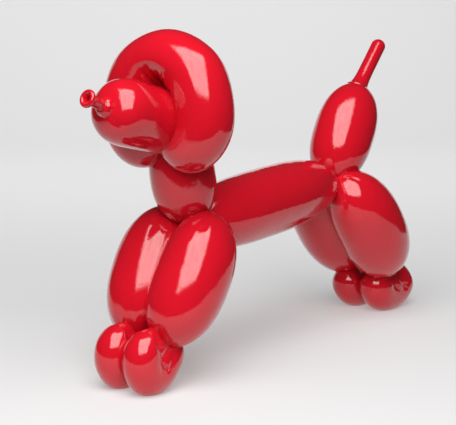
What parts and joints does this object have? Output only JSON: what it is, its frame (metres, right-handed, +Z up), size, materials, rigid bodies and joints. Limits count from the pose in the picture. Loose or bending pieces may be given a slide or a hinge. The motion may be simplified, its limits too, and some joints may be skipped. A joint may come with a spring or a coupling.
{
  "type": "balloon poodle statue",
  "caption": "Glossy red cast resin statue of a poodle twisted from a long balloon, standing on its own feet.",
  "frame": {"origin": "middle of the bounding box at the ground, under the belly", "axes": "+Z up, +Y from nose to tail, +X to the figure's left"},
  "size_m": [0.1182, 0.4092, 0.2687],
  "materials": {
    "red_lacquer": "high-gloss lacquer"
  },
  "bodies": {
    "root": {"balloon_poodle": "red_lacquer"}
  },
  "joints": []
}
